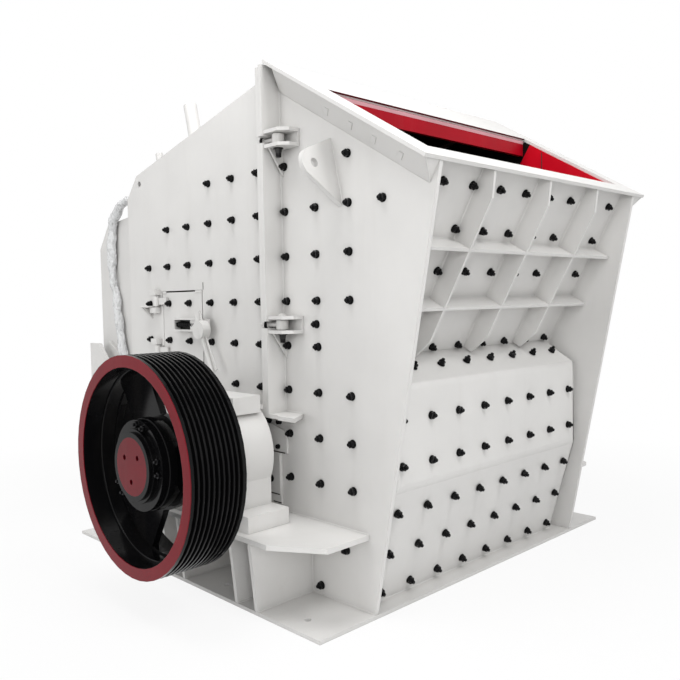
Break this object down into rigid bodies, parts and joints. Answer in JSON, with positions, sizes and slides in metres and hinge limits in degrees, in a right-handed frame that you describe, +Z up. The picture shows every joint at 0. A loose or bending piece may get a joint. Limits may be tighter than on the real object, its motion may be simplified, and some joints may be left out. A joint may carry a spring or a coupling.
{
  "type": "impact crusher",
  "caption": "Horizontal shaft impact crusher in bolted plate: sloping feed mouth, ribbed front wall, side inspection door, and a rotor turned by a grooved belt pulley.",
  "frame": {"origin": "under the middle of the bounding box, at the underside of the base", "axes": "+X towards the feed side, -Y the drive side with the pulley, +Z up"},
  "size_m": [3.7206, 3.4602, 3.1397],
  "materials": {
    "grey_white_paint": "satin",
    "gloss_black_paint": "gloss",
    "crimson_paint": "satin",
    "cast_steel": "matte",
    "clear_film": "gloss"
  },
  "bodies": {
    "frame": {"base_frame": "grey_white_paint", "bearing_block_drive": "grey_white_paint", "bearing_block_free": "grey_white_paint", "bearing_seat_drive": "grey_white_paint", "bearing_seat_free": "grey_white_paint", "belly_panel": "grey_white_paint", "clamp_ears_high_drive": "grey_white_paint", "clamp_ears_high_free": "grey_white_paint", "clamp_ears_low_drive": "grey_white_paint", "clamp_ears_low_free": "grey_white_paint", "door_hinge_1": "grey_white_paint", "door_hinge_2": "grey_white_paint", "feed_rib_grid": "grey_white_paint", "feed_wall": "grey_white_paint", "front_apron": "cast_steel", "front_side_drive": "grey_white_paint", "front_side_free": "grey_white_paint", "hinge_lug_drive": "grey_white_paint", "hinge_lug_free": "grey_white_paint", "housing_shell": "grey_white_paint", "housing_side_drive": "grey_white_paint", "housing_side_free": "grey_white_paint", "lifting_lug_drive": "grey_white_paint", "lifting_lug_free": "grey_white_paint", "lower_rear_wall": "grey_white_paint", "mouth_flange": "grey_white_paint", "mouth_gusset_drive": "grey_white_paint", "mouth_gusset_free": "grey_white_paint", "mouth_lip": "crimson_paint", "rear_apron": "cast_steel", "rear_hood": "grey_white_paint", "shaft_seal_drive": "grey_white_paint", "shaft_seal_free": "grey_white_paint", "side_liner_drive": "crimson_paint", "side_liner_free": "crimson_paint", "swing_bolt_high_drive": "gloss_black_paint", "swing_bolt_high_free": "gloss_black_paint", "swing_bolt_low_drive": "gloss_black_paint", "swing_bolt_low_free": "gloss_black_paint", "wrapped_hoses": "clear_film"},
    "rotor": {"rotor_shaft": "cast_steel", "rotor_drum": "cast_steel", "blow_bar_1": "cast_steel", "blow_bar_2": "cast_steel", "blow_bar_3": "cast_steel", "blow_bar_4": "cast_steel", "drive_pulley": "gloss_black_paint", "hub_disc": "crimson_paint"},
    "door": {"inspection_door": "grey_white_paint", "latch_bar": "grey_white_paint"},
    "latch": {"latch_lever": "grey_white_paint"}
  },
  "joints": [
    {"name": "rotor_spin", "type": "hinge", "parent": "frame", "child": "rotor", "pos_m": [0.41965, 0.20985, 0.832], "axis": [0, 1, 0], "continuous": true},
    {"name": "door_swing", "type": "hinge", "parent": "frame", "child": "door", "pos_m": [-0.73035, -0.85815, 1.5475], "axis": [0, 0, -1], "range_deg": [0, 105]},
    {"name": "latch_turn", "type": "hinge", "parent": "door", "child": "latch", "pos_m": [-0.08535, -0.90515, 1.53], "axis": [0, -1, 0], "range_deg": [0, 90]}
  ]
}
